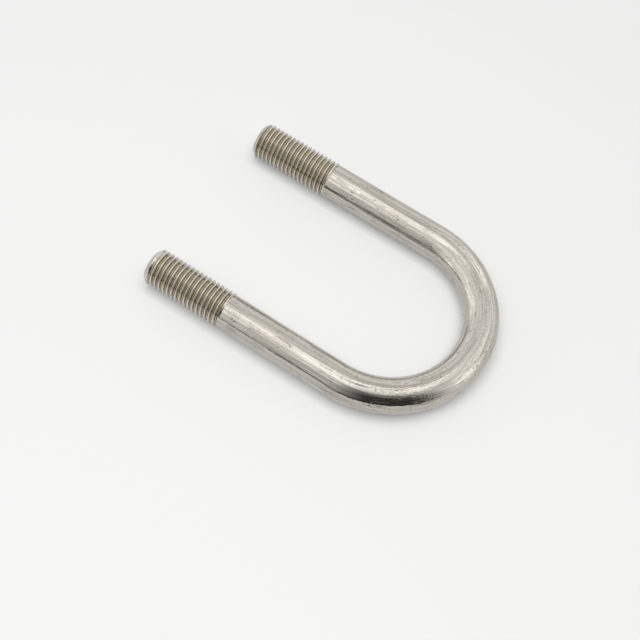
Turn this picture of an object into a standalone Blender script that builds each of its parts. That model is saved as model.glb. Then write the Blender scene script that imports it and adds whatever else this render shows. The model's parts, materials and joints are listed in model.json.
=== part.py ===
"""A U-bolt made from one round stainless steel bar.

The bar is bent to a half circle, with a straight leg on each side, and a right-hand
thread is rolled on each leg. The part lies flat: z = 0 is the surface that the thread
crests rest on, the legs run along Y with their ends at +Y, and X goes across the legs.
Every size is in metres.
"""

from math import cos, pi, radians, sin, tan

import bmesh
import bpy
from mathutils import Matrix, Vector

# The bend and the legs.
SHANK_DIAMETER = 0.0147
INSIDE_WIDTH = 0.062
INSIDE_HEIGHT = 0.1176

# The thread: 16 mm with a 2 mm pitch. Rolling raises its crests above the bar.
THREAD_LENGTH = 0.036
THREAD_PITCH = 0.002
CREST_DIAMETER = 0.0157
CREST_FLAT = 0.00025
ROOT_FLAT = 0.0005
FLANK_ANGLE = radians(30)
RUN_OUT_LENGTH = 0.0009

# The chamfer on each leg end.
END_FACE_DIAMETER = 0.013
END_CHAMFER_LENGTH = 0.0015

# How far the crest on the +X side starts below the leg end, in pitches.
RIGHT_CREST_START = 0.25
LEFT_CREST_START = 0.42

# How finely round shapes are divided.
BAR_SIDES = 32
BEND_STEPS = 28
THREAD_SIDES = 24
SMOOTH_ANGLE = radians(25)

# How deep the bar and the thread reach into each other, so that they join.
JOIN_DEPTH = 0.00025
# How far a cutter stands outside what it cuts.
CUTTER_MARGIN = 0.001
# Turns of thread past each end, which the cutter takes away.
SPARE_TURNS = 2
# Corners of neighbouring turns closer than this are one corner.
MERGE_DISTANCE = 0.00001

SHANK_RADIUS = SHANK_DIAMETER / 2
CREST_RADIUS = CREST_DIAMETER / 2
FLANK_RISE = (THREAD_PITCH - CREST_FLAT - ROOT_FLAT) / 2
ROOT_RADIUS = CREST_RADIUS - FLANK_RISE / tan(FLANK_ANGLE)
END_FACE_RADIUS = END_FACE_DIAMETER / 2
CORE_RADIUS = min(ROOT_RADIUS, SHANK_RADIUS) - JOIN_DEPTH
BEND_RADIUS = (INSIDE_WIDTH + SHANK_DIAMETER) / 2
LEG_LENGTH = INSIDE_HEIGHT - INSIDE_WIDTH / 2
OVERALL_LENGTH = INSIDE_HEIGHT + SHANK_DIAMETER

# The axis plane is one crest radius above the surface, and the part is centred in Y.
AXIS_HEIGHT = max(CREST_RADIUS, SHANK_RADIUS)
LEG_END_Y = OVERALL_LENGTH / 2
BEND_CENTRE = Vector((0, LEG_END_Y - LEG_LENGTH, AXIS_HEIGHT))


def clear_scene():
    for item in list(bpy.data.objects):
        bpy.data.objects.remove(item, do_unlink=True)


def steel():
    """Bare drawn stainless steel."""
    material = bpy.data.materials.new("stainless_steel")
    material.use_nodes = True
    shader = material.node_tree.nodes["Principled BSDF"]
    shader.inputs["Base Color"].default_value = (0.62, 0.60, 0.56, 1)
    shader.inputs["Metallic"].default_value = 1.0
    shader.inputs["Roughness"].default_value = 0.3
    return material


def add_object(name, mesh):
    data = bpy.data.meshes.new(name)
    mesh.to_mesh(data)
    mesh.free()
    item = bpy.data.objects.new(name, data)
    bpy.context.scene.collection.objects.link(item)
    return item


def extend(mesh, rim, step, radius_ratio=1):
    """Pull the open end of a bar along, and return its new rim."""
    pulled = bmesh.ops.extrude_edge_only(mesh, edges=rim)["geom"]
    verts = [item for item in pulled if isinstance(item, bmesh.types.BMVert)]
    bmesh.ops.translate(mesh, verts=verts, vec=step)
    middle = sum((vert.co for vert in verts), Vector()) / len(verts)
    bmesh.ops.scale(
        mesh,
        verts=verts,
        vec=(radius_ratio,) * 3,
        space=Matrix.Translation(-middle),
    )
    return [item for item in pulled if isinstance(item, bmesh.types.BMEdge)]


def bar():
    """The plain bar, from inside one thread, round the bend, to inside the other."""
    mesh = bmesh.new()
    plain_length = LEG_LENGTH - THREAD_LENGTH
    taper = Vector((0, SHANK_RADIUS - CORE_RADIUS, 0))
    start = Vector((BEND_RADIUS, LEG_END_Y - THREAD_LENGTH, AXIS_HEIGHT)) + taper
    # Half a side's turn keeps the bar's corners off the thread's corners.
    half_side = Matrix.Rotation(pi / BAR_SIDES, 4, "Z")
    bmesh.ops.create_circle(
        mesh,
        segments=BAR_SIDES,
        radius=CORE_RADIUS,
        matrix=Matrix.Translation(start) @ Matrix.Rotation(pi / 2, 4, "X") @ half_side,
    )
    rim = extend(mesh, mesh.edges[:], -taper, SHANK_RADIUS / CORE_RADIUS)
    rim = extend(mesh, rim, Vector((0, -plain_length, 0)))
    turned = bmesh.ops.spin(
        mesh,
        geom=rim,
        cent=BEND_CENTRE,
        axis=(0, 0, 1),
        angle=-pi,
        steps=BEND_STEPS,
    )
    rim = [item for item in turned["geom_last"] if isinstance(item, bmesh.types.BMEdge)]
    rim = extend(mesh, rim, Vector((0, plain_length, 0)))
    extend(mesh, rim, taper, CORE_RADIUS / SHANK_RADIUS)
    bmesh.ops.holes_fill(mesh, edges=mesh.edges, sides=BAR_SIDES)
    bmesh.ops.recalc_face_normals(mesh, faces=mesh.faces)
    return add_object("threaded_rod", mesh)


def close_ends(mesh, bottom, top):
    """Close both helical ends, each with a cone of triangles that stands clear of the end."""
    rims = [edge for edge in mesh.edges if edge.is_boundary]
    low_apex = mesh.verts.new((0, 0, bottom - CREST_RADIUS))
    high_apex = mesh.verts.new((0, 0, top + CREST_RADIUS))
    for edge in rims:
        low = edge.verts[0].co.z < (bottom + top) / 2
        mesh.faces.new((*edge.verts, low_apex if low else high_apex))


def thread(name, crest_start):
    """A threaded stud about local Z, with z = 0 at the leg end and the leg below it."""
    turns = int(THREAD_LENGTH / THREAD_PITCH) + 2 * SPARE_TURNS
    lowest_crest = -(turns - SPARE_TURNS + crest_start) * THREAD_PITCH
    bottom = lowest_crest - CREST_FLAT / 2 - FLANK_RISE
    mesh = bmesh.new()
    corners = [
        (ROOT_RADIUS, THREAD_PITCH),
        (CREST_RADIUS, THREAD_PITCH - FLANK_RISE),
        (CREST_RADIUS, THREAD_PITCH - FLANK_RISE - CREST_FLAT),
        (ROOT_RADIUS, THREAD_PITCH - 2 * FLANK_RISE - CREST_FLAT),
        (ROOT_RADIUS, 0),
    ]
    verts = [mesh.verts.new((radius, 0, bottom + height)) for radius, height in corners]
    edges = [mesh.edges.new(pair) for pair in zip(verts, verts[1:])]
    bmesh.ops.spin(
        mesh,
        geom=verts + edges,
        cent=(0, 0, 0),
        axis=(0, 0, 1),
        dvec=(0, 0, THREAD_PITCH / THREAD_SIDES),
        angle=2 * pi * turns,
        steps=THREAD_SIDES * turns,
    )
    bmesh.ops.remove_doubles(mesh, verts=mesh.verts, dist=MERGE_DISTANCE)
    close_ends(mesh, bottom, bottom + (turns + 1) * THREAD_PITCH)
    bmesh.ops.triangulate(mesh, faces=mesh.faces)
    bmesh.ops.recalc_face_normals(mesh, faces=mesh.faces)
    return add_object(name, mesh)


def envelope(name):
    """What a finished thread fits inside: the end chamfer, the crests and the run-out."""
    outside = CREST_RADIUS + CUTTER_MARGIN
    chamfer_rise = CREST_RADIUS - END_FACE_RADIUS
    chamfer_top = END_CHAMFER_LENGTH * (outside - END_FACE_RADIUS) / chamfer_rise
    run_out_rise = CREST_RADIUS - SHANK_RADIUS
    slope = RUN_OUT_LENGTH / max(run_out_rise, JOIN_DEPTH)
    foot = -THREAD_LENGTH - JOIN_DEPTH
    profile = [
        (END_FACE_RADIUS, 0),
        (outside, -chamfer_top),
        (outside, foot + slope * (outside - SHANK_RADIUS)),
        (SHANK_RADIUS - JOIN_DEPTH, foot - slope * JOIN_DEPTH),
    ]
    mesh = bmesh.new()
    rings = []
    # Its corners stand half a side away from the thread's corners.
    angles = [2 * pi * (step + 0.5) / THREAD_SIDES for step in range(THREAD_SIDES)]
    for radius, height in profile:
        rings.append([mesh.verts.new((radius * cos(a), radius * sin(a), height)) for a in angles])
    for ring in (rings[0], rings[-1]):
        mesh.faces.new(ring)
    for upper, lower in zip(rings, rings[1:]):
        for step in range(THREAD_SIDES):
            following = (step + 1) % THREAD_SIDES
            mesh.faces.new((upper[step], upper[following], lower[following], lower[step]))
    bmesh.ops.recalc_face_normals(mesh, faces=mesh.faces)
    return add_object(name, mesh)


def place_on_leg(item, side):
    """Stand a stud or its envelope on a leg, with local Z along +Y."""
    leg_end = Vector((side * BEND_RADIUS, LEG_END_Y, AXIS_HEIGHT))
    item.matrix_world = Matrix.Translation(leg_end) @ Matrix.Rotation(-pi / 2, 4, "X")
    item.hide_render = True
    item.display_type = "WIRE"


def combine(item, other, operation):
    modifier = item.modifiers.new(operation.lower(), "BOOLEAN")
    modifier.operation = operation
    modifier.solver = "EXACT"
    modifier.object = other


def build():
    clear_scene()
    rod = bar()
    rod.data.materials.append(steel())
    for name, side, crest_start in (
        ("right", 1, RIGHT_CREST_START),
        ("left", -1, LEFT_CREST_START),
    ):
        stud = thread(name + "_thread", crest_start)
        limit = envelope(name + "_envelope")
        place_on_leg(stud, side)
        place_on_leg(limit, side)
        combine(stud, limit, "INTERSECT")
        combine(rod, stud, "UNION")
    rod.data.shade_smooth()
    rod.data.set_sharp_from_angle(angle=SMOOTH_ANGLE)


build()
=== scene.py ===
import json
from math import atan2, cos, hypot, pi, radians, sin, tan

import bpy
from mathutils import Matrix, Vector


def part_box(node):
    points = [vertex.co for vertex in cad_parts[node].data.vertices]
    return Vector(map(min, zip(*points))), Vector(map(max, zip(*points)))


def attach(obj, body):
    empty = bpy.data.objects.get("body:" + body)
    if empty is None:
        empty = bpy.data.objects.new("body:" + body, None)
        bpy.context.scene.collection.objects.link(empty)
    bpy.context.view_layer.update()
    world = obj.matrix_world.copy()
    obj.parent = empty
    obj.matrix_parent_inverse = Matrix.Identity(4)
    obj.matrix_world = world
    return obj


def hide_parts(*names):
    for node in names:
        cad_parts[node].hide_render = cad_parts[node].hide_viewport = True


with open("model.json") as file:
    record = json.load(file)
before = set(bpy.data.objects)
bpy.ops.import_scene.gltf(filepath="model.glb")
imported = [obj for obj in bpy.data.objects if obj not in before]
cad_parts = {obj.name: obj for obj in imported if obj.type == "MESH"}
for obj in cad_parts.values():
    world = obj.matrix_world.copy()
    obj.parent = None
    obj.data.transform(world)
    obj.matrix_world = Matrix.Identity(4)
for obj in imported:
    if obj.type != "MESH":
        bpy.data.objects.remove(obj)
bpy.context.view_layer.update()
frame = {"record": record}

# where the CAD puts the two leg ends
legEnds = {mount["name"]: Vector(mount["pos_m"]) for mount in frame["record"]["mounts"]}
rightEnd = legEnds["right_leg_end"]
leftEnd = legEnds["left_leg_end"]
rodLow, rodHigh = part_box("threaded_rod")
crestRadius = (rodHigh.z - rodLow.z) / 2
barAxis = rightEnd.z
bendRadius = rightEnd.x
touching = 0.00001  # metres: points nearer than this are at the same place


def deselectAll():
    if bpy.context.object and bpy.context.object.mode != "OBJECT":
        bpy.ops.object.mode_set(mode="OBJECT")
    bpy.ops.object.select_all(action="DESELECT")


def pickOnly(piece):
    deselectAll()
    piece.select_set(True)
    bpy.context.view_layer.objects.active = piece


def newest(name):
    piece = bpy.context.object
    piece.name = name
    piece.data.name = name
    return piece


def selectPoints(piece, wanted):
    bpy.ops.object.mode_set(mode="EDIT")
    bpy.ops.mesh.select_mode(type="VERT")
    bpy.ops.mesh.select_all(action="DESELECT")
    bpy.ops.object.mode_set(mode="OBJECT")
    for point in piece.data.vertices:
        point.select = wanted(point.co)
    bpy.ops.object.mode_set(mode="EDIT")


# picks the open edges that lie where they are wanted
def selectRims(piece, wanted):
    pickOnly(piece)
    bpy.ops.object.mode_set(mode="EDIT")
    bpy.ops.mesh.select_mode(type="EDGE")
    bpy.ops.mesh.select_all(action="DESELECT")
    bpy.ops.mesh.select_non_manifold(
        use_wire=False, use_multi_face=False, use_non_contiguous=False,
    )
    bpy.ops.object.mode_set(mode="OBJECT")
    for edge in piece.data.edges:
        if edge.select:
            edge.select = all(wanted(piece.data.vertices[index].co) for index in edge.vertices)
    for point in piece.data.vertices:
        point.select = point.select and wanted(point.co)
    bpy.ops.object.mode_set(mode="EDIT")


def putOn(piece, kind, **settings):
    pickOnly(piece)
    modifier = piece.modifiers.new(kind.lower(), kind)
    for key, value in settings.items():
        setattr(modifier, key, value)
    bpy.ops.object.modifier_apply(modifier=modifier.name)


def applyPlace(piece):
    pickOnly(piece)
    bpy.ops.object.transform_apply(location=True, rotation=True, scale=True)


# rolled thread on one leg, built standing on Z with the leg end at z = 0; lengths in metres
rolledThread = {
    "pitch": 0.002,
    "length": 0.036,
    "turns": 21,
    "turnsPastEnd": 2,  # of those turns, cut off again at the leg end
    "steps": 64,  # round one turn
    "crestFlat": 0.00025,
    "rootFlat": 0.0005,
    "flankAngle": radians(30),
    "rootRound": 0.0002,
    "crestRound": 0.00011,
    "roundSteps": 3,
    "crestStart": 0.25,  # first crest below the right leg end, in pitches
    "leftTurn": 0.17,  # how much further down it starts on the left leg, in pitches
    "runOut": 0.001,  # length over which the grooves come up to the bar
    "endFace": 0.0065,  # radius
    "faceMargin": 0.0001,  # points this far inside the end face's rim stay where they are
    "chamferLength": 0.0015,
    "rightDeepening": (0.2, 0.9),  # turns from the leg end, from no groove to its full depth
    "leftDeepening": (0.8, 1.5),
    "cutTolerance": 1e-7,
    "mergeAfterCut": 0.000002,
}
bar = {
    "radius": 0.00735,
    "sides": 64,
    "bendSteps": 128,
    "joinGap": 0.00015,  # closed by the bridge between bar and thread
    "innerHeight": 0.1176,  # leg end to the inside of the bend's crown
    "smoothAngle": radians(35),
}
legBottom = rightEnd.y - (bar["innerHeight"] - (bendRadius - bar["radius"]))
chamferSlope = (crestRadius - rolledThread["endFace"]) / rolledThread["chamferLength"]


def rollThread():
    t = rolledThread
    rise = (t["pitch"] - t["crestFlat"] - t["rootFlat"]) / 2
    depth = rise / tan(t["flankAngle"])
    rootRadius = crestRadius - depth
    # the profile starts in the middle of a groove, half a pitch below a crest
    bottom = -(t["turns"] - t["turnsPastEnd"] + 0.5 + t["crestStart"]) * t["pitch"]
    deselectAll()
    bpy.ops.mesh.primitive_plane_add(size=t["pitch"] / 2, location=(rootRadius, 0, bottom))
    stud = newest("rolledThread")
    applyPlace(stud)
    bpy.ops.object.mode_set(mode="EDIT")
    bpy.ops.mesh.select_all(action="SELECT")
    bpy.ops.mesh.merge(type="CENTER")  # one point, whatever the plane's size
    # one groove and crest, drawn point by point up the leg
    for outwards, upwards in (
        (0, t["rootFlat"] / 2),
        (depth / 2, rise / 2),
        (depth / 2, rise / 2),
        (0, t["crestFlat"]),
        (-depth / 2, rise / 2),
        (-depth / 2, rise / 2),
        (0, t["rootFlat"] / 2),
    ):
        bpy.ops.mesh.extrude_vertices_move(
            TRANSFORM_OT_translate={"value": (outwards, 0, upwards)}
        )
    low, high = bottom + touching, bottom + t["pitch"] - touching
    selectPoints(stud, lambda co: co.x < rootRadius + touching and low < co.z < high)
    bpy.ops.mesh.bevel(offset=t["rootRound"], segments=t["roundSteps"], affect="VERTICES")
    selectPoints(stud, lambda co: co.x > crestRadius - touching)
    bpy.ops.mesh.bevel(offset=t["crestRound"], segments=t["roundSteps"], affect="VERTICES")
    bpy.ops.object.mode_set(mode="OBJECT")
    putOn(
        stud, "SCREW",
        axis="Z", angle=2 * pi, screw_offset=t["pitch"], iterations=t["turns"],
        steps=t["steps"], render_steps=t["steps"], use_smooth_shade=True,
    )
    bpy.ops.object.mode_set(mode="EDIT")
    bpy.ops.mesh.select_all(action="SELECT")
    bpy.ops.mesh.remove_doubles(threshold=touching)
    bpy.ops.object.mode_set(mode="OBJECT")
    return stud


# radius of the chamfer's cone, which goes on widening down the leg
def chamferRadius(height):
    return rolledThread["endFace"] - chamferSlope * height


def chamferEnd(stud):
    # crests are turned down to the chamfer, straight in towards the axis
    t = rolledThread
    for point in stud.data.vertices:
        radius = hypot(point.co.x, point.co.y)
        limit = chamferRadius(point.co.z)
        if radius > limit:
            point.co.x *= limit / radius
            point.co.y *= limit / radius
    # both ends are cut square, and the leg end gets its flat face
    bpy.ops.object.mode_set(mode="EDIT")
    for cutHeight, keepBelow in ((0, True), (-t["length"], False)):
        bpy.ops.mesh.select_all(action="SELECT")
        bpy.ops.mesh.bisect(
            plane_co=(0, 0, cutHeight), plane_no=(0, 0, 1),
            clear_outer=keepBelow, clear_inner=not keepBelow, threshold=t["cutTolerance"],
        )
    bpy.ops.mesh.select_all(action="SELECT")
    bpy.ops.mesh.remove_doubles(threshold=t["mergeAfterCut"])
    selectRims(stud, lambda co: co.z > -touching)
    bpy.ops.mesh.edge_face_add()
    bpy.ops.object.mode_set(mode="OBJECT")


def fillEnd(stud, crestStart, deepening):
    # each groove starts level with the chamfer and deepens along its own helix
    t = rolledThread
    shallowTo, fullFrom = deepening
    for point in stud.data.vertices:
        radius = hypot(point.co.x, point.co.y)
        turn = atan2(point.co.y, point.co.x) / (2 * pi)
        middle = crestStart + 0.5 - turn  # of the groove, half a pitch below its crest
        travel = round(-point.co.z / t["pitch"] - middle) + middle
        share = max(0, min(1, (fullFrom - travel) / (fullFrom - shallowTo)))
        level = min(chamferRadius(point.co.z), crestRadius)
        if share > 0 and radius > t["endFace"] - t["faceMargin"]:
            grown = 1 + share * (level / radius - 1)
            point.co.x *= grown
            point.co.y *= grown


def runOutThread(stud):
    # crests and grooves ease into the bar's own radius at the foot of the thread
    t = rolledThread
    fade = stud.vertex_groups.new(name="runOut")
    for point in stud.data.vertices:
        share = 1 - min(1, (point.co.z + t["length"]) / t["runOut"])
        if share > 0:
            fade.add([point.index], share * share * (3 - 2 * share), "REPLACE")
    putOn(
        stud, "CAST",
        cast_type="CYLINDER", use_z=False, use_radius_as_size=False, size=bar["radius"],
        factor=1, vertex_group="runOut",
    )


def standOnLeg(stud, legEnd):
    stud.location = legEnd
    stud.rotation_euler = (-pi / 2, 0, 0)
    applyPlace(stud)


def bendBar():
    b = bar
    bendCentre = (0, legBottom, barAxis)
    foot = rightEnd.y - rolledThread["length"] - b["joinGap"]
    deselectAll()
    bpy.ops.mesh.primitive_circle_add(
        vertices=b["sides"], radius=b["radius"],
        location=(bendRadius, foot, barAxis), rotation=(pi / 2, 0, 0),
    )
    piece = newest("uBolt")
    applyPlace(piece)
    bpy.ops.object.mode_set(mode="EDIT")
    bpy.ops.mesh.select_all(action="SELECT")
    straight = foot - legBottom
    bpy.ops.mesh.extrude_region_move(TRANSFORM_OT_translate={"value": (0, -straight, 0)})
    bpy.ops.mesh.spin(steps=b["bendSteps"], angle=pi, center=bendCentre, axis=(0, 0, 1))
    bpy.ops.mesh.extrude_region_move(TRANSFORM_OT_translate={"value": (0, straight, 0)})
    bpy.ops.object.mode_set(mode="OBJECT")
    return piece


rightThread = rollThread()
chamferEnd(rightThread)
runOutThread(rightThread)
print("thread rolled", len(rightThread.data.polygons), "faces")

leftThread = rightThread.copy()
leftThread.data = rightThread.data.copy()
bpy.context.collection.objects.link(leftThread)
leftThread.rotation_euler.z = rolledThread["leftTurn"] * 2 * pi
applyPlace(leftThread)
fillEnd(rightThread, rolledThread["crestStart"], rolledThread["rightDeepening"])
leftStart = rolledThread["crestStart"] + rolledThread["leftTurn"]
fillEnd(leftThread, leftStart, rolledThread["leftDeepening"])
standOnLeg(rightThread, rightEnd)
standOnLeg(leftThread, leftEnd)
uBolt = bendBar()
print("bar bent", len(uBolt.data.polygons), "faces")

deselectAll()
for piece in (rightThread, leftThread, uBolt):
    piece.select_set(True)
bpy.context.view_layer.objects.active = uBolt
bpy.ops.object.join()
for side in (1, -1):
    foot = rightEnd.y - rolledThread["length"]
    selectRims(uBolt, lambda co: side * co.x > 0 and co.y < foot + touching)
    bpy.ops.mesh.bridge_edge_loops()
    bpy.ops.object.mode_set(mode="OBJECT")
bpy.ops.object.mode_set(mode="EDIT")
bpy.ops.mesh.select_all(action="SELECT")
bpy.ops.mesh.normals_make_consistent(inside=False)
bpy.ops.object.mode_set(mode="OBJECT")
bpy.ops.object.shade_smooth_by_angle(angle=bar["smoothAngle"])
uBolt.vertex_groups.clear()
print("joined", len(uBolt.data.polygons), "faces")


# each point's place on the straightened bar (across, up, along), so that lines follow the bend
def layAlongBar(piece):
    layer = piece.data.attributes.new("alongBar", "FLOAT_VECTOR", "POINT")
    for point, value in zip(piece.data.vertices, layer.data):
        side, height, onward = point.co.x, point.co.z - barAxis, point.co.y - legBottom
        if onward > 0 and side > 0:
            across, along = side - bendRadius, onward
        elif onward > 0:
            across, along = -side - bendRadius, -pi * bendRadius - onward
        else:
            across, along = hypot(side, onward) - bendRadius, -atan2(-onward, side) * bendRadius
        value.vector = (across, height, along)


layAlongBar(uBolt)

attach(uBolt, "root")
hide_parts("threaded_rod")


# node helpers, shared by the materials and the studio surround
def newPaint(name):
    paint = bpy.data.materials.new(name)
    paint.use_nodes = True
    return paint, paint.node_tree, paint.node_tree.nodes["Principled BSDF"]


def plug(tree, value, socket):
    if isinstance(value, bpy.types.NodeSocket):
        tree.links.new(value, socket)
    else:
        socket.default_value = value


def maths(tree, kind, *values):
    node = tree.nodes.new("ShaderNodeMath")
    node.operation = kind
    for socket, value in zip(node.inputs, values):
        plug(tree, value, socket)
    return node.outputs[0]


def times(tree, first, second):
    return maths(tree, "MULTIPLY", first, second)


def timesPlus(tree, first, second, third):
    return maths(tree, "MULTIPLY_ADD", first, second, third)


def ramp(tree, value, start, stop, low=0.0, high=1.0):
    node = tree.nodes.new("ShaderNodeMapRange")
    node.interpolation_type = "SMOOTHSTEP"
    names = ("Value", "From Min", "From Max", "To Min", "To Max")
    for key, item in zip(names, (value, start, stop, low, high)):
        plug(tree, item, node.inputs[key])
    return node.outputs["Result"]


def scaled(tree, vector, scale, shift=(0, 0, 0)):
    node = tree.nodes.new("ShaderNodeMapping")
    plug(tree, vector, node.inputs["Vector"])
    node.inputs["Scale"].default_value = scale
    node.inputs["Location"].default_value = shift
    return node.outputs["Vector"]


def noise(tree, vector, detail, rough=0.5):
    node = tree.nodes.new("ShaderNodeTexNoise")
    plug(tree, vector, node.inputs["Vector"])
    node.inputs["Scale"].default_value = 1
    node.inputs["Detail"].default_value = detail
    node.inputs["Roughness"].default_value = rough
    return node.outputs["Fac"]


# small marks, one in each cell: solid to `inner`, gone at `outer`, and only in cells over `keep`
def marks(tree, vector, inner, outer, keep):
    keepEdge = 0.05
    node = tree.nodes.new("ShaderNodeTexVoronoi")
    plug(tree, vector, node.inputs["Vector"])
    node.inputs["Scale"].default_value = 1
    near = ramp(tree, node.outputs["Distance"], outer, inner)
    kept = ramp(tree, node.outputs["Color"], keep, keep + keepEdge)
    return times(tree, near, kept)


def mixColours(tree, share, first, second):
    node = tree.nodes.new("ShaderNodeMix")
    node.data_type = "RGBA"
    plug(tree, share, node.inputs[0])
    plug(tree, first, node.inputs[6])
    plug(tree, second, node.inputs[7])
    return node.outputs[2]


# lengths in metres
steelLook = {
    "bright": (0.575, 0.549, 0.497, 1),
    "dull": (0.415, 0.388, 0.339, 1),
    "crest": (0.63, 0.61, 0.57, 1),
    # the grooves' colour is partly grime and partly painted shade: darker and browner, as the
    # flanks' shadow and bounced light would make them
    "groove": (0.37, 0.315, 0.23, 1),
    "grime": (0.10, 0.075, 0.045, 1),
    "speckBrown": (0.16, 0.085, 0.035, 1),
    # dark brown of the specks, which lie thicker towards the underside
    "cutEnd": (0.56, 0.55, 0.53, 1),
    # patterns: repeats per metre across, up and along the bar, finer layers, their strength
    "streaks": ((1700, 1700, 45), 1, 0.6),
    "drawLines": ((1400, 1400, 5), 0, 0.5),
    "hairLines": ((5200, 5200, 110), 1, 0.5),
    "bands": ((380, 380, 9), 1, 0.5),
    "frost": ((1500, 1500, 1250), 2, 0.6),
    "scratches": ((640, 640, 24), 2, 0.6),
    "patches": ((130, 130, 130), 2, 0.5),
    # marks: the same repeats, size of the middle, size with the edge, share of cells without one
    "pits": ((620, 620, 430), 0.12, 0.28, 0.5),
    "gouges": ((300, 300, 62), 0.05, 0.13, 0.66),
    "specks": ((430, 430, 330), 0.1, 0.22, 0.52),
    "scratchShift": (0.2, 0.5, 0.9),
    "speckShift": (0.3, 0.7, 0.1),
    "facing": (2400, 2),  # turned rings on the end faces: repeats per metre, finer layers
    # where things are
    "bendBlend": 0.012,  # either side of where the bend starts
    "endSkin": 0.00005,  # nearer to the leg end than this is the end face
    "endBand": (0.0013, 0.00195),  # bright chamfer: where it begins to fade, where it is gone
    "grooveShadeFade": (0.00027, -0.00017),  # outwards from the bar's surface, from none to full painted groove shade
    "underBar": 0.00002,  # grooves are deeper than this under the bar's surface
    "crestFade": (0.0003, 0.00018),  # inwards from the crests, from none to full
    # frosting by patch, from least to full, and its share on the straight legs
    "frostPatches": (0.38, 0.6, 0.35, 1),
    "legFrost": 0.5,
    # scratches and pits by patch, from none to full, and a scratch from its edge to its middle
    "wornPatches": (0.42, 0.55),
    "scratchWidth": (0.02, 0.003),
    "speckHeights": (0.002, -0.004, 0.15, 0.95),  # from few on the upper side to many below
    # colour: how much bands and frosting add to the streaks, and the sum from bright to dull
    "bandShade": 0.3,
    "frostShade": 1.3,
    "brightToDull": (0.4, 0.9),
    "scratchGrime": 0.45,
    "pitGrime": 0.55,
    "gougeGrime": 0.85,
    "speckDarkening": 0.8,
    # roughness
    "smoothest": 0.05,
    "hairRoughness": 0.06,
    "frostRoughness": 0.045,
    "studRoughness": -0.5,  # rolled threads are smoother by this share
    "turnedRoughness": 0.12,  # more on the chamfer, and on the end face
    # relief: its full height, and each pattern's share of it
    "relief": 0.0001,
    "hairRelief": 0.02,
    "streakRelief": 0.22,
    "frostRelief": 0.7,
    "drawLineRelief": 0.3,
    "pitRelief": -0.45,
    "scratchRelief": -0.15,
    "gougeRelief": -0.8,
    "facingRelief": 0.8,
}


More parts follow.
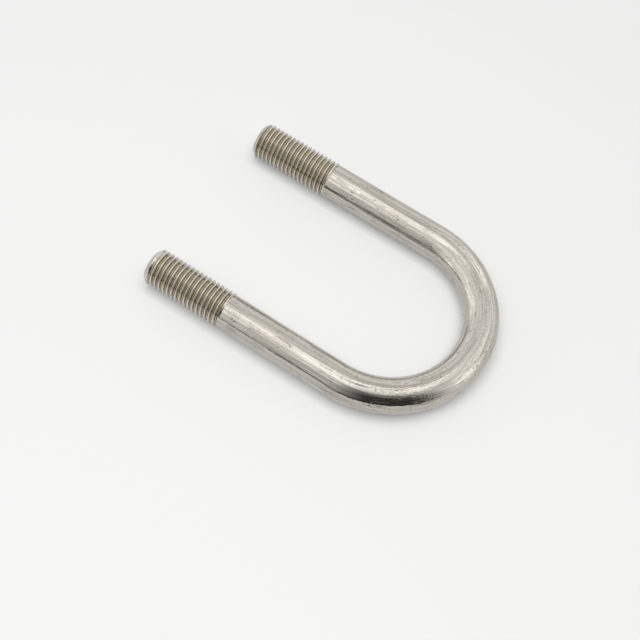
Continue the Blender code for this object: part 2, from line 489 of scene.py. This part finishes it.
def drawnStainless():
    paint, tree, shader = newPaint("drawnStainless")
    look = steelLook
    where = tree.nodes.new("ShaderNodeAttribute")
    where.attribute_name = "alongBar"
    place = where.outputs["Vector"]
    split = tree.nodes.new("ShaderNodeSeparateXYZ")
    plug(tree, place, split.inputs[0])
    across, height, along = split.outputs

    def pattern(name, shift=(0, 0, 0)):
        scale, detail, rough = look[name]
        return noise(tree, scaled(tree, place, scale, shift), detail, rough)

    def markPattern(name, shift=(0, 0, 0)):
        scale, inner, outer, keep = look[name]
        return marks(tree, scaled(tree, place, scale, shift), inner, outer, keep)

    # where the bend, the threads and the end faces are, from the crown of the bend
    radius = maths(tree, "SQRT", timesPlus(tree, across, across, times(tree, height, height)))
    halfBend = pi * bendRadius / 2
    fromCrown = maths(tree, "ABSOLUTE", maths(tree, "ADD", along, halfBend))
    onBend = ramp(tree, fromCrown, halfBend + look["bendBlend"], halfBend - look["bendBlend"])
    endAt = halfBend + rightEnd.y - legBottom
    onEnd = maths(tree, "GREATER_THAN", fromCrown, endAt - look["endSkin"])
    onStud = maths(tree, "GREATER_THAN", fromCrown, endAt - rolledThread["length"])
    pastBand = ramp(tree, fromCrown, *(endAt - reach for reach in look["endBand"]))

    streaks = pattern("streaks")
    drawLines = pattern("drawLines")
    hairLines = pattern("hairLines")
    bands = pattern("bands")
    patches = pattern("patches")
    frost = pattern("frost")
    legAndBend = timesPlus(tree, onBend, 1 - look["legFrost"], look["legFrost"])
    frostHere = times(tree, ramp(tree, patches, *look["frostPatches"]), legAndBend)
    frosting = times(tree, maths(tree, "SUBTRACT", frost, 0.5), frostHere)

    # scratches run where a stretched noise is close to its middle value
    worn = ramp(tree, patches, *look["wornPatches"])
    lines = pattern("scratches", look["scratchShift"])
    fromLine = maths(tree, "ABSOLUTE", maths(tree, "SUBTRACT", lines, 0.5))
    scratches = times(tree, ramp(tree, fromLine, *look["scratchWidth"]), worn)
    pits = times(tree, markPattern("pits"), worn)
    gouges = markPattern("gouges")
    # dark brown specks, few on the upper side and more towards the underside
    specks = markPattern("specks", look["speckShift"])
    specks = times(tree, specks, ramp(tree, height, *look["speckHeights"]))

    shade = timesPlus(tree, frosting, look["frostShade"], streaks)
    shade = timesPlus(tree, bands, look["bandShade"], shade)
    dullness = ramp(tree, shade, *look["brightToDull"])
    colour = mixColours(tree, dullness, look["bright"], look["dull"])
    for share, strength, tint in (
        (scratches, "scratchGrime", "grime"),
        (pits, "pitGrime", "grime"),
        (gouges, "gougeGrime", "grime"),
        (specks, "speckDarkening", "speckBrown"),
    ):
        colour = mixColours(tree, times(tree, share, look[strength]), colour, look[tint])

    # painted shade with some grime: grooves below the bar's surface and past the chamfer take
    # the darker, browner groove colour
    underBar = maths(tree, "LESS_THAN", radius, bar["radius"] - look["underBar"])
    grooveShadeAndGrime = ramp(tree, radius, *(bar["radius"] + fade for fade in look["grooveShadeFade"]))
    grooveShadeAndGrime = times(tree, times(tree, grooveShadeAndGrime, underBar), pastBand)
    onCrest = ramp(tree, radius, *(crestRadius - fade for fade in look["crestFade"]))
    colour = mixColours(tree, grooveShadeAndGrime, colour, look["groove"])
    colour = mixColours(tree, onCrest, colour, look["crest"])
    colour = mixColours(tree, onEnd, colour, look["cutEnd"])
    plug(tree, colour, shader.inputs["Base Color"])

    rough = timesPlus(tree, hairLines, look["hairRoughness"], look["smoothest"])
    rough = timesPlus(tree, frostHere, look["frostRoughness"], rough)
    rough = times(tree, rough, timesPlus(tree, onStud, look["studRoughness"], 1))
    onBand = times(tree, onStud, maths(tree, "SUBTRACT", 1, pastBand))
    rough = timesPlus(tree, onBand, look["turnedRoughness"], rough)
    rough = timesPlus(tree, onEnd, look["turnedRoughness"], rough)
    plug(tree, rough, shader.inputs["Roughness"])
    shader.inputs["Metallic"].default_value = 1

    ringScale, ringDetail = look["facing"]
    rings = tree.nodes.new("ShaderNodeCombineXYZ")
    plug(tree, times(tree, radius, ringScale), rings.inputs[0])
    facing = times(tree, noise(tree, rings.outputs[0], ringDetail), onEnd)
    relief = times(tree, hairLines, look["hairRelief"])
    for part, share in (
        (streaks, "streakRelief"),
        (frosting, "frostRelief"),
        (drawLines, "drawLineRelief"),
        (pits, "pitRelief"),
        (scratches, "scratchRelief"),
        (gouges, "gougeRelief"),
        (facing, "facingRelief"),
    ):
        relief = timesPlus(tree, part, look[share], relief)
    bump = tree.nodes.new("ShaderNodeBump")
    bump.inputs["Distance"].default_value = look["relief"]
    bump.inputs["Strength"].default_value = 1
    plug(tree, relief, bump.inputs["Height"])
    plug(tree, bump.outputs["Normal"], shader.inputs["Normal"])
    return paint


uBolt.data.materials.clear()
uBolt.data.materials.append(drawnStainless())

# pale table that the bolt lies on, with a glow of its own under the lights
table = {
    "size": 16,
    "colour": (0.197, 0.197, 0.196, 1),
    "glow": (1, 1, 0.995, 1),
    "glowStrength": 0.235,
    "roughness": 0.9,
}
bpy.ops.mesh.primitive_plane_add(size=table["size"], location=(0, 0, rodLow.z))
floor = newest("tableTop")
floorPaint, _, floorShader = newPaint("paleTable")
floorShader.inputs["Base Color"].default_value = table["colour"]
floorShader.inputs["Emission Color"].default_value = table["glow"]
floorShader.inputs["Emission Strength"].default_value = table["glowStrength"]
floorShader.inputs["Roughness"].default_value = table["roughness"]
floorShader.inputs["Specular IOR Level"].default_value = 0.0
floor.data.materials.append(floorPaint)

# studio surround: soft panels all round, dark on the side where the camera stands
# side angles go round from -Y through +X, height angles up from the table, all in degrees
studio = {
    "wall": 1.07,  # from every direction, before the panels and lamps
    # a tall dark side, then a low strip in it; left, right and top each fade over two angles
    "darkSides": (
        {"left": (-118, -66), "right": (-30, 6), "top": (45, 91), "leftOver": 0.05},
        {"left": (-120, -105), "right": (-30, 0), "top": (6, 14), "leftOver": 0.12},
    ),
    # each panel: side angle of its middle, half width, lowest, highest, soft edge, strength
    "panels": (
        (0, 180, 71, 90, 5, 0.62),
        (-150, 34, 5, 62, 12, 0.22),
        (-107, 12, 49, 57, 3, 0.5),
        (112, 18, 46, 63, 4, -0.09),
        (18, 7, -5, 48, 4, 0.55),
        (45, 16, 30, 62, 10, 0.24),
        (-172, 12, -3, 40, 6, 0.33),
    ),
    # each lamp: side angle, height angle, size, edge, strength; a negative one is a dark gap
    "lamps": (
        (106, 70, 1.5, 3.5, 1.1),
        (90, 68, 3, 6, 0.9),
        (8, 22, 2, 6, 0.8),
        (-128, 9, 2, 7, 0.9),
        (-145, 75, 1.5, 4, 0.9),
        (-62, 77, 2, 7, -0.35),
        (44, 73, 2, 6, 0.4),
        (25, 72, 2, 6, 0.3),
        (32, 84, 2, 5, 0.5),
        (-117, 68, 1, 3, 0.9),
        (96, 83, 3, 7, -1.2),
        (106, 61, 1.5, 5, -0.2),
        (-165, 62, 2, 7, 0.35),
        (80, 29, 3, 9, 0.7),
        (88, 44, 3, 9, 0.35),
    ),
    "overhead": {"power": 44, "size": (1.1, 1.0), "place": (-0.25, 0.0, 1.2)},  # watts, metres
}


def directionOf(side, height):
    side, height = radians(side), radians(height)
    return (sin(side) * cos(height), -cos(side) * cos(height), sin(height))


def lightStudio():
    world = bpy.data.worlds.new("softStudio")
    bpy.context.scene.world = world
    world.use_nodes = True
    tree = world.node_tree
    aim = tree.nodes.new("ShaderNodeTexCoord").outputs["Generated"]

    # how far round the studio a direction is from a side angle
    def awayFrom(middle):
        turn = tree.nodes.new("ShaderNodeMapping")
        turn.inputs["Rotation"].default_value = (0, 0, -radians(middle))
        plug(tree, aim, turn.inputs["Vector"])
        flat = tree.nodes.new("ShaderNodeSeparateXYZ")
        plug(tree, turn.outputs["Vector"], flat.inputs[0])
        return maths(tree, "ARCTAN2", flat.outputs["X"], times(tree, flat.outputs["Y"], -1))

    def between(value, start, stop):
        return ramp(tree, value, radians(start), radians(stop))

    upright = tree.nodes.new("ShaderNodeSeparateXYZ")
    plug(tree, aim, upright.inputs[0])
    height = maths(tree, "ARCSINE", upright.outputs["Z"])
    total = studio["wall"]
    for side, halfWidth, lowest, highest, soft, strength in studio["panels"]:
        reach = between(height, lowest - soft, lowest + soft)
        if highest < 90:  # else it goes on to straight overhead
            reach = times(tree, reach, between(height, highest + soft, highest - soft))
        if halfWidth < 180:  # else it goes all round
            away = maths(tree, "ABSOLUTE", awayFrom(side))
            reach = times(tree, reach, between(away, halfWidth + soft, halfWidth - soft))
        total = timesPlus(tree, reach, strength, total)
    for side, tall, size, edge, strength in studio["lamps"]:
        dot = tree.nodes.new("ShaderNodeVectorMath")
        dot.operation = "DOT_PRODUCT"
        plug(tree, aim, dot.inputs[0])
        dot.inputs[1].default_value = directionOf(side, tall)
        spot = ramp(tree, dot.outputs["Value"], cos(radians(edge)), cos(radians(size)))
        total = timesPlus(tree, spot, strength, total)
    for shadow in studio["darkSides"]:
        leftStart, leftFull = shadow["left"]
        rightFull, rightStart = shadow["right"]
        topFull, topStart = shadow["top"]
        middle = (leftFull + rightFull) / 2
        around = awayFrom(middle)
        dark = between(around, leftStart - middle, leftFull - middle)
        dark = times(tree, dark, between(around, rightStart - middle, rightFull - middle))
        dark = times(tree, dark, between(height, topStart, topFull))
        total = times(tree, total, timesPlus(tree, dark, shadow["leftOver"] - 1, 1))
    background = tree.nodes["Background"]
    plug(tree, total, background.inputs["Strength"])
    background.inputs["Color"].default_value = (1, 1, 1, 1)

    # a large soft light overhead, which the table shows and the steel doesn't mirror
    over = studio["overhead"]
    bpy.ops.object.light_add(type="AREA", location=over["place"])
    light = bpy.context.object
    light.name = "overheadLight"
    light.data.shape = "RECTANGLE"
    light.data.size, light.data.size_y = over["size"]
    light.data.energy = over["power"]
    light.visible_glossy = False
    light.visible_camera = False


lightStudio()
print("studio lit")

# camera: side angle, height angle and roll in degrees, lens and sensor in millimetres
camera = {
    "side": -67.290,
    "height": 61.916,
    "roll": 11.549,
    "distance": 0.4821,
    "lookAt": (-0.02014, -0.00163),  # in the plane of the bar's axis
    "lens": 68.50,
    "sensor": 36,
    "nearest": 0.01,
}


def setCamera():
    side, roll = radians(camera["side"]), radians(camera["roll"])
    back = Vector(directionOf(camera["side"], camera["height"]))
    right = Vector((cos(side), sin(side), 0))
    up = back.cross(right)
    lookAt = Vector((*camera["lookAt"], barAxis))
    data = bpy.data.cameras.new("viewCamera")
    data.lens = camera["lens"]
    data.sensor_width = camera["sensor"]
    data.clip_start = camera["nearest"]
    piece = bpy.data.objects.new("viewCamera", data)
    bpy.context.collection.objects.link(piece)
    across = right * cos(roll) + up * sin(roll)
    upward = up * cos(roll) - right * sin(roll)
    place = lookAt + back * camera["distance"]
    columns = Matrix(((*across, 0), (*upward, 0), (*back, 0), (*place, 1)))
    piece.matrix_world = columns.transposed()
    bpy.context.scene.camera = piece


setCamera()
bpy.context.scene.view_settings.view_transform = "Standard"
